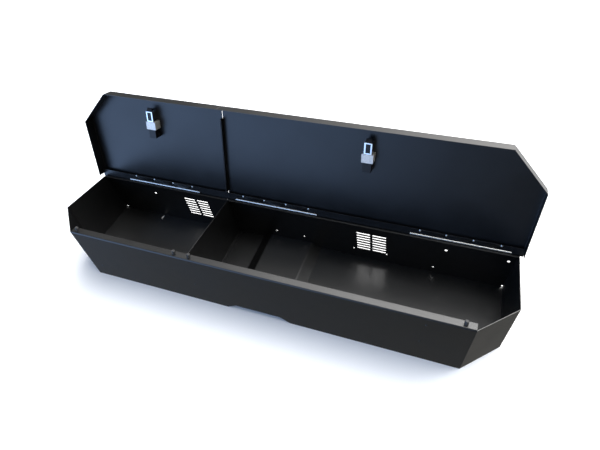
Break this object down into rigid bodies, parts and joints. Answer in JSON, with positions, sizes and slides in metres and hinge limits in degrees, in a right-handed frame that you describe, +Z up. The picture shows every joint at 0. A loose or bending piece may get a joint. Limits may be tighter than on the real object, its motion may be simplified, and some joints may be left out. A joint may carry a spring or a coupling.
{
  "type": "truck tool box",
  "caption": "Low lockable tool box for a truck cab floor: black folded sheet metal, divided tray over a floor hump, vented back wall, two hinged lids shown open with push-button latches.",
  "frame": {"origin": "Bottom centre of the whole object's bounding box with both lids open. It is level with the underside of the floor pan.", "axes": "+X runs along the box to its right end seen from the open front, +Y from the front wall to the back wall and the hinges, +Z up."},
  "size_m": [1.4704, 0.4098, 0.4839],
  "materials": {
    "box_paint": "semi-gloss black powder coat",
    "lid_paint": "smooth semi-gloss black powder coat",
    "zinc": "bright zinc plate",
    "zinc_case": "matt zinc plate",
    "chrome": "bright chrome plate",
    "latch_black": "satin black",
    "rubber": "moulded black rubber",
    "spring_steel": "drawn spring wire"
  },
  "bodies": {
    "box": {"front_panel": "box_paint", "floor_pan": "box_paint", "back_panel": "box_paint", "left_end_panel": "box_paint", "right_end_panel": "box_paint", "divider": "box_paint", "divider_rivet": "box_paint", "front_panel_rivets": "box_paint", "rim_bumpers": "rubber", "left_hinge_body_leaf": "zinc", "left_hinge_pin": "zinc", "middle_hinge_body_leaf": "zinc", "middle_hinge_pin": "zinc", "right_hinge_body_leaf": "zinc", "right_hinge_pin": "zinc"},
    "left_lid": {"left_lid": "lid_paint", "left_hinge_lid_leaf": "lid_paint", "left_hinge_rivets": "zinc", "left_latch_case": "zinc_case", "left_spring_housing": "latch_black", "left_bolt_guide": "chrome", "left_bolt_spring": "spring_steel", "left_lock_bezel": "chrome", "left_case_screws": "zinc"},
    "left_button": {"left_push_button": "chrome"},
    "left_key": {"left_key_plug": "zinc"},
    "left_bolt": {"left_latch_bolt": "latch_black"},
    "right_lid": {"right_lid": "lid_paint", "middle_hinge_lid_leaf": "lid_paint", "middle_hinge_rivets": "zinc", "right_hinge_lid_leaf": "lid_paint", "right_hinge_rivets": "zinc", "right_latch_case": "zinc_case", "right_spring_housing": "latch_black", "right_bolt_guide": "chrome", "right_bolt_spring": "spring_steel", "right_lock_bezel": "chrome", "right_case_screws": "zinc"},
    "right_button": {"right_push_button": "chrome"},
    "right_key": {"right_key_plug": "zinc"},
    "right_bolt": {"right_latch_bolt": "latch_black"}
  },
  "joints": [
    {"name": "left_lid_hinge", "type": "hinge", "parent": "box", "child": "left_lid", "pos_m": [-0.468, 0.09703, 0.17858], "axis": [1, 0, 0], "range_deg": [0, 100.5]},
    {"name": "left_button_press", "type": "slide", "parent": "left_lid", "child": "left_button", "axis": [0, -0.9537, 0.3007], "range_m": [0, 0.008], "stiffness_N_per_m": 400, "springref_m": -0.002, "deforming": ["left_bolt_spring"]},
    {"name": "left_bolt_slide", "type": "slide", "parent": "left_lid", "child": "left_bolt", "axis": [0, -0.3007, -0.9537], "range_m": [0, 0.008], "stiffness_N_per_m": 400, "springref_m": -0.002, "deforming": ["left_bolt_spring"]},
    {"name": "left_key_turn", "type": "hinge", "parent": "left_button", "child": "left_key", "pos_m": [-0.468, 0.17673, 0.38815], "axis": [0, 0.9537, -0.3007], "range_deg": [0, 90]},
    {"name": "right_lid_hinge", "type": "hinge", "parent": "box", "child": "right_lid", "pos_m": [0.258, 0.09703, 0.17858], "axis": [1, 0, 0], "range_deg": [0, 100.5]},
    {"name": "right_button_press", "type": "slide", "parent": "right_lid", "child": "right_button", "axis": [0, -0.9537, 0.3007], "range_m": [0, 0.008], "stiffness_N_per_m": 400, "springref_m": -0.002, "deforming": ["right_bolt_spring"]},
    {"name": "right_bolt_slide", "type": "slide", "parent": "right_lid", "child": "right_bolt", "axis": [0, -0.3007, -0.9537], "range_m": [0, 0.008], "stiffness_N_per_m": 400, "springref_m": -0.002, "deforming": ["right_bolt_spring"]},
    {"name": "right_key_turn", "type": "hinge", "parent": "right_button", "child": "right_key", "pos_m": [0.258, 0.17673, 0.38815], "axis": [0, 0.9537, -0.3007], "range_deg": [0, 90]}
  ],
  "couplings": [
    {"joint": "left_bolt_slide", "follows": "left_button_press", "ratio": 1},
    {"joint": "right_bolt_slide", "follows": "right_button_press", "ratio": 1}
  ]
}
